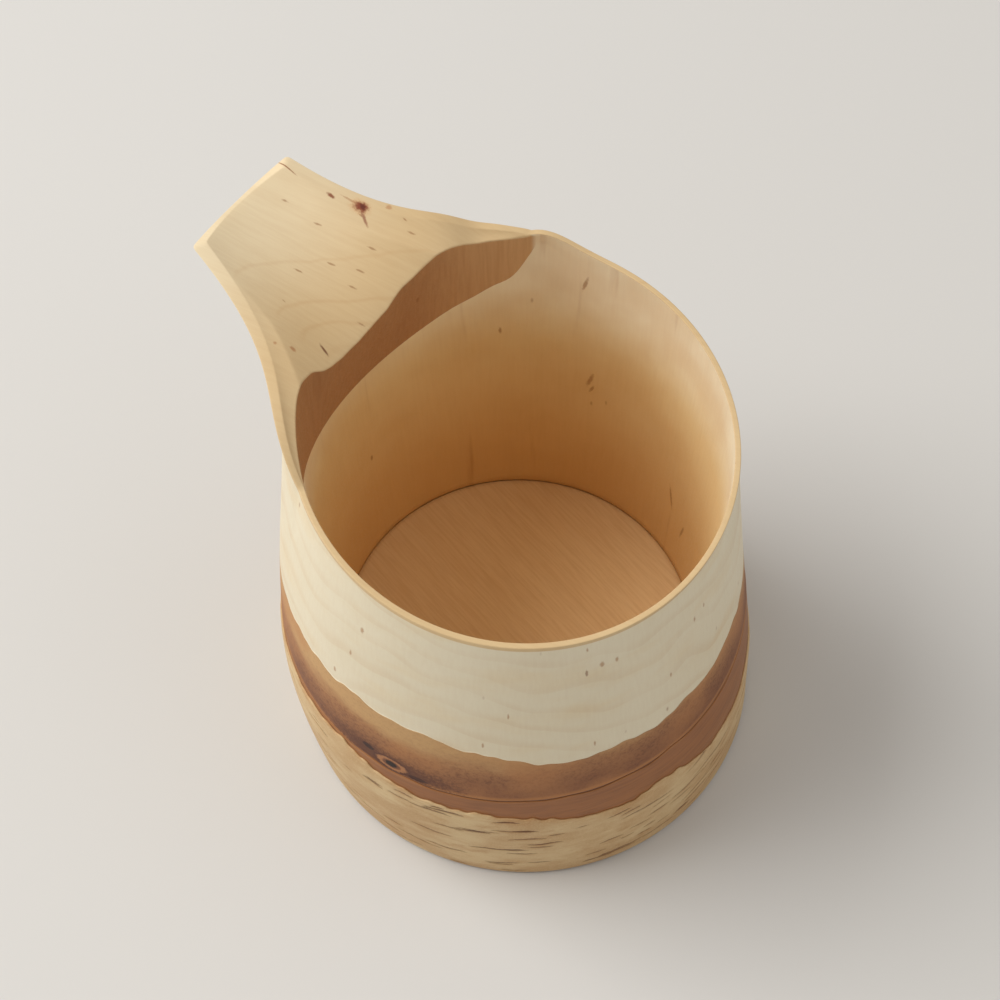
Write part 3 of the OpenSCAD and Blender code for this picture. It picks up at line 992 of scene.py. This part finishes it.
def cork_finish():
    g = Graph("cork_layer", 0.5, coat=0.15, coat_roughness=0.4)
    streak = g.noise(g.stretch(0.12, 0.12, 1.4), 1.0, 4.0, 0.6)
    broad = g.noise(g.stretch(0.06, 0.06, 0.2), 1.0, 3.0)
    colour = g.mix(broad, rgb(168, 108, 54), rgb(146, 88, 42))
    colour = g.mix(g.remap(streak, 0.4, 0.7, 0, 0.45), colour, rgb(118, 70, 36))
    colour = g.mix(g.remap(g.axis(2), 33.2, 34.2, 0, 0.4), colour, rgb(182, 124, 70))
    return g.finish(colour, streak, 0.2, 0.2)


def outer_bark_finish():
    g = Graph("outer_bark", 0.6, coat=0.06, coat_roughness=0.5)
    slit, halo, lip = g.zone()[:3]
    broad = g.noise(g.stretch(0.07, 0.07, 0.16), 1.0, 4.0, 0.6)
    level = g.noise(g.stretch(0.16, 0.16, 1.5), 1.0, 5.0, 0.65)
    blotch = g.noise(g.stretch(0.16, 0.16, 0.3), 1.0, 4.0, 0.6)
    grit = g.noise(g.point, 3.0, 4.0)
    colour = g.mix(g.remap(broad, 0.35, 0.65), rgb(218, 190, 144), rgb(198, 160, 112))
    colour = g.mix(g.remap(level, 0.5, 0.78, 0, 0.4), colour, rgb(196, 152, 102))
    colour = g.mix(g.remap(blotch, 0.55, 0.72, 0, 0.5), colour, rgb(184, 136, 86))
    colour = g.mix(g.times(halo, 0.5), colour, rgb(168, 112, 66))
    colour = g.mix(g.remap(grit, 0.4, 0.7, 0, 0.25), colour, rgb(230, 208, 160))
    colour = g.mix(g.times(lip, g.remap(level, 0.35, 0.6, 0, 0.3)), colour, rgb(176, 118, 66))
    colour = g.mix(slit, colour, rgb(88, 44, 24))
    return g.finish(colour, level, 0.25, 0.3)


body.data.materials.append(birch_wood())
floor_disc.data.materials.append(floor_wood())
inner_bark.data.materials.append(inner_bark_finish())
cork.data.materials.append(cork_finish())
outer_bark.data.materials.append(outer_bark_finish())


# ---- Stage, light and camera ----------------------------------------------------------------

STAGE_SIDE, STAGE_SINK = 2.5, 0.0002
STAGE_PALE = rgb(214, 212, 208)
LIGHT_AIM = Vector((0, 0, 0.05))
WORLD_WARM, WORLD_STRENGTH = (1.0, 0.955, 0.9, 1), 0.42

CAMERA_AZIMUTH, CAMERA_ELEVATION, CAMERA_ROLL = 39.0, 60.0, 1.06
CAMERA_AIM = Vector((-0.00779, 0.00473, 0.05))
CAMERA_DISTANCE = 0.4442
CAMERA_LENS = 86.4
CAMERA_NEAR = 0.01


def outward(azimuth, elevation):
    """Unit vector at an azimuth counted from -Y towards +X, and an elevation, in degrees."""
    a, e = math.radians(azimuth), math.radians(elevation)
    return Vector((math.sin(a) * math.cos(e), -math.cos(a) * math.cos(e), math.sin(e)))


def make_stage():
    mesh = bpy.data.meshes.new("stage_floor")
    corners = [(x * STAGE_SIDE, y * STAGE_SIDE, 0) for x, y in ((-1, -1), (1, -1), (1, 1), (-1, 1))]
    mesh.from_pydata(corners, [], [(0, 1, 2, 3)])
    floor = bpy.data.objects.new("stage_floor", mesh)
    floor.location.z = -STAGE_SINK
    bpy.context.scene.collection.objects.link(floor)
    g = Graph("stage_floor", 0.9)
    g.shader.inputs["Base Color"].default_value = STAGE_PALE
    mesh.materials.append(g.material)


def area_light(name, azimuth, elevation, distance, size, watts):
    """A soft square light on a circle about the cup, turned towards it."""
    data = bpy.data.lights.new(name, "AREA")
    data.size = size
    data.energy = watts
    lamp = bpy.data.objects.new(name, data)
    way = outward(azimuth, elevation)
    lamp.location = LIGHT_AIM + way * distance
    lamp.rotation_euler = way.to_track_quat("Z", "Y").to_euler()
    bpy.context.scene.collection.objects.link(lamp)


def make_camera():
    data = bpy.data.cameras.new("camera")
    data.lens = CAMERA_LENS
    data.clip_start = CAMERA_NEAR
    camera = bpy.data.objects.new("camera", data)
    back = outward(CAMERA_AZIMUTH, CAMERA_ELEVATION)
    level = math.radians(CAMERA_AZIMUTH)
    roll = Matrix.Rotation(math.radians(-CAMERA_ROLL), 3, back)
    right = roll @ Vector((math.cos(level), math.sin(level), 0))
    spin = Matrix((right, back.cross(right), back)).transposed().to_4x4()
    camera.matrix_world = Matrix.Translation(CAMERA_AIM + back * CAMERA_DISTANCE) @ spin
    bpy.context.scene.collection.objects.link(camera)
    bpy.context.scene.camera = camera


def make_world():
    world = bpy.data.worlds.new("world")
    world.use_nodes = True
    background = world.node_tree.nodes["Background"]
    background.inputs["Color"].default_value = WORLD_WARM
    background.inputs["Strength"].default_value = WORLD_STRENGTH
    bpy.context.scene.world = world
    bpy.context.scene.view_settings.view_transform = "Standard"


make_stage()
make_camera()
area_light("key", -62, 48, 1.5, 1.1, 20)
area_light("fill", 120, 50, 1.8, 1.6, 4)
make_world()
